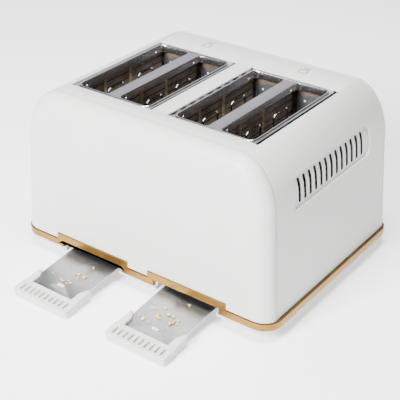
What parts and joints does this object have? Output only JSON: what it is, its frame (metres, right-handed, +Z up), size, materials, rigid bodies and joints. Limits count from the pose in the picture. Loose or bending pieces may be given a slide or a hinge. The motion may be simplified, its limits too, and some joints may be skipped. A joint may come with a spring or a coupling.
{
  "type": "pop up toaster",
  "caption": "Wide pop-up toaster with an arched white housing, slim metallic base band, side vents, bread lifts, browning dials and crumb trays that slide out at the rear.",
  "frame": {"origin": "centre of the footprint on the surface it stands on, with both crumb trays pulled out", "axes": "+Z up, -Y towards the user's side with the levers and dials, +Y out of the crumb-tray side, +X across the toaster to the user's right"},
  "size_m": [0.33, 0.3508, 0.1919],
  "materials": {
    "painted_shell": "satin warm-white powder coat",
    "gold_trim": "satin rose-gold plating",
    "white_plastic": "satin moulded white",
    "brushed_steel": "brushed stainless",
    "galvanised_steel": "galvanised sheet",
    "bright_wire": "bright plated wire",
    "mica": "pressed mica board",
    "black_rubber": "soft black rubber",
    "circuit_board": "solder-masked laminate",
    "magnet_iron": "laminated iron and lacquered winding"
  },
  "bodies": {
    "housing": {"wrap_cover": "painted_shell", "rear_cap": "painted_shell", "front_cap": "painted_shell", "trim_band": "gold_trim", "base_plate": "white_plastic", "cord_gland": "black_rubber", "foot_front_left": "black_rubber", "foot_front_right": "black_rubber", "foot_rear_left": "black_rubber", "foot_rear_right": "black_rubber", "left_slot_frame": "brushed_steel", "left_front_end_plate": "galvanised_steel", "left_rear_end_plate": "galvanised_steel", "left_outer_heater": "mica", "left_middle_heater": "mica", "left_inner_heater": "mica", "left_guide_rod": "brushed_steel", "left_return_spring": "galvanised_steel", "left_electromagnet": "magnet_iron", "left_control_board": "circuit_board", "right_slot_frame": "brushed_steel", "right_front_end_plate": "galvanised_steel", "right_rear_end_plate": "galvanised_steel", "right_outer_heater": "mica", "right_middle_heater": "mica", "right_inner_heater": "mica", "right_guide_rod": "brushed_steel", "right_return_spring": "galvanised_steel", "right_electromagnet": "magnet_iron", "right_control_board": "circuit_board"},
    "left_crumb_tray": {"left_tray_plate": "galvanised_steel", "left_tray_handle": "white_plastic"},
    "left_lift": {"left_slot1_shelf": "galvanised_steel", "left_slot2_shelf": "galvanised_steel", "left_lift_carriage": "galvanised_steel", "left_lever_knob": "white_plastic"},
    "left_slot1_guide_a_wires": {"left_slot1_guide_a": "bright_wire"},
    "left_slot1_guide_b_wires": {"left_slot1_guide_b": "bright_wire"},
    "left_slot2_guide_a_wires": {"left_slot2_guide_a": "bright_wire"},
    "left_slot2_guide_b_wires": {"left_slot2_guide_b": "bright_wire"},
    "left_dial": {"left_browning_dial": "white_plastic"},
    "left_cancel": {"left_cancel_button": "white_plastic"},
    "left_reheat": {"left_reheat_button": "white_plastic"},
    "left_defrost": {"left_defrost_button": "white_plastic"},
    "right_crumb_tray": {"right_tray_plate": "galvanised_steel", "right_tray_handle": "white_plastic"},
    "right_lift": {"right_slot1_shelf": "galvanised_steel", "right_slot2_shelf": "galvanised_steel", "right_lift_carriage": "galvanised_steel", "right_lever_knob": "white_plastic"},
    "right_slot1_guide_a_wires": {"right_slot1_guide_a": "bright_wire"},
    "right_slot1_guide_b_wires": {"right_slot1_guide_b": "bright_wire"},
    "right_slot2_guide_a_wires": {"right_slot2_guide_a": "bright_wire"},
    "right_slot2_guide_b_wires": {"right_slot2_guide_b": "bright_wire"},
    "right_dial": {"right_browning_dial": "white_plastic"},
    "right_cancel": {"right_cancel_button": "white_plastic"},
    "right_reheat": {"right_reheat_button": "white_plastic"},
    "right_defrost": {"right_defrost_button": "white_plastic"}
  },
  "joints": [
    {"name": "left_tray_slide", "type": "slide", "parent": "housing", "child": "left_crumb_tray", "axis": [0, 0.9954, -0.0958], "range_m": [-0.0818, 0]},
    {"name": "left_lift_slide", "type": "slide", "parent": "housing", "child": "left_lift", "axis": [0, 0, -1], "range_m": [0, 0.068], "stiffness_N_per_m": 80, "springref_m": -0.04, "deforming": ["left_return_spring"]},
    {"name": "left_slot1_guide_a_pivot", "type": "hinge", "parent": "housing", "child": "left_slot1_guide_a_wires", "pos_m": [-0.1062, -0.02278, 0.047], "axis": [0, 1, 0], "range_deg": [0, 4]},
    {"name": "left_slot1_guide_b_pivot", "type": "hinge", "parent": "housing", "child": "left_slot1_guide_b_wires", "pos_m": [-0.0732, -0.02278, 0.047], "axis": [0, -1, 0], "range_deg": [0, 4]},
    {"name": "left_slot2_guide_a_pivot", "type": "hinge", "parent": "housing", "child": "left_slot2_guide_a_wires", "pos_m": [-0.0532, -0.02278, 0.047], "axis": [0, 1, 0], "range_deg": [0, 4]},
    {"name": "left_slot2_guide_b_pivot", "type": "hinge", "parent": "housing", "child": "left_slot2_guide_b_wires", "pos_m": [-0.0202, -0.02278, 0.047], "axis": [0, -1, 0], "range_deg": [0, 4]},
    {"name": "left_dial_turn", "type": "hinge", "parent": "housing", "child": "left_dial", "pos_m": [-0.112, -0.15197, 0.062], "axis": [0, -1, 0], "range_deg": [-135, 135]},
    {"name": "left_cancel_press", "type": "slide", "parent": "housing", "child": "left_cancel", "axis": [0, 1, 0], "range_m": [0, 0.0015], "stiffness_N_per_m": 500, "springref_m": -0.0005},
    {"name": "left_reheat_press", "type": "slide", "parent": "housing", "child": "left_reheat", "axis": [0, 1, 0], "range_m": [0, 0.0015], "stiffness_N_per_m": 500, "springref_m": -0.0005},
    {"name": "left_defrost_press", "type": "slide", "parent": "housing", "child": "left_defrost", "axis": [0, 1, 0], "range_m": [0, 0.0015], "stiffness_N_per_m": 500, "springref_m": -0.0005},
    {"name": "right_tray_slide", "type": "slide", "parent": "housing", "child": "right_crumb_tray", "axis": [0, 0.9954, -0.0958], "range_m": [-0.0818, 0]},
    {"name": "right_lift_slide", "type": "slide", "parent": "housing", "child": "right_lift", "axis": [0, 0, -1], "range_m": [0, 0.068], "stiffness_N_per_m": 80, "springref_m": -0.04, "deforming": ["right_return_spring"]},
    {"name": "right_slot1_guide_a_pivot", "type": "hinge", "parent": "housing", "child": "right_slot1_guide_a_wires", "pos_m": [0.0202, -0.02278, 0.047], "axis": [0, 1, 0], "range_deg": [0, 4]},
    {"name": "right_slot1_guide_b_pivot", "type": "hinge", "parent": "housing", "child": "right_slot1_guide_b_wires", "pos_m": [0.0532, -0.02278, 0.047], "axis": [0, -1, 0], "range_deg": [0, 4]},
    {"name": "right_slot2_guide_a_pivot", "type": "hinge", "parent": "housing", "child": "right_slot2_guide_a_wires", "pos_m": [0.0732, -0.02278, 0.047], "axis": [0, 1, 0], "range_deg": [0, 4]},
    {"name": "right_slot2_guide_b_pivot", "type": "hinge", "parent": "housing", "child": "right_slot2_guide_b_wires", "pos_m": [0.1062, -0.02278, 0.047], "axis": [0, -1, 0], "range_deg": [0, 4]},
    {"name": "right_dial_turn", "type": "hinge", "parent": "housing", "child": "right_dial", "pos_m": [0.112, -0.15197, 0.062], "axis": [0, -1, 0], "range_deg": [-135, 135]},
    {"name": "right_cancel_press", "type": "slide", "parent": "housing", "child": "right_cancel", "axis": [0, 1, 0], "range_m": [0, 0.0015], "stiffness_N_per_m": 500, "springref_m": -0.0005},
    {"name": "right_reheat_press", "type": "slide", "parent": "housing", "child": "right_reheat", "axis": [0, 1, 0], "range_m": [0, 0.0015], "stiffness_N_per_m": 500, "springref_m": -0.0005},
    {"name": "right_defrost_press", "type": "slide", "parent": "housing", "child": "right_defrost", "axis": [0, 1, 0], "range_m": [0, 0.0015], "stiffness_N_per_m": 500, "springref_m": -0.0005}
  ],
  "couplings": [
    {"joint": "left_slot1_guide_a_pivot", "follows": "left_lift_slide", "rad_per_m": 1.02},
    {"joint": "left_slot1_guide_b_pivot", "follows": "left_lift_slide", "rad_per_m": 1.02},
    {"joint": "left_slot2_guide_a_pivot", "follows": "left_lift_slide", "rad_per_m": 1.02},
    {"joint": "left_slot2_guide_b_pivot", "follows": "left_lift_slide", "rad_per_m": 1.02},
    {"joint": "right_slot1_guide_a_pivot", "follows": "right_lift_slide", "rad_per_m": 1.02},
    {"joint": "right_slot1_guide_b_pivot", "follows": "right_lift_slide", "rad_per_m": 1.02},
    {"joint": "right_slot2_guide_a_pivot", "follows": "right_lift_slide", "rad_per_m": 1.02},
    {"joint": "right_slot2_guide_b_pivot", "follows": "right_lift_slide", "rad_per_m": 1.02}
  ]
}
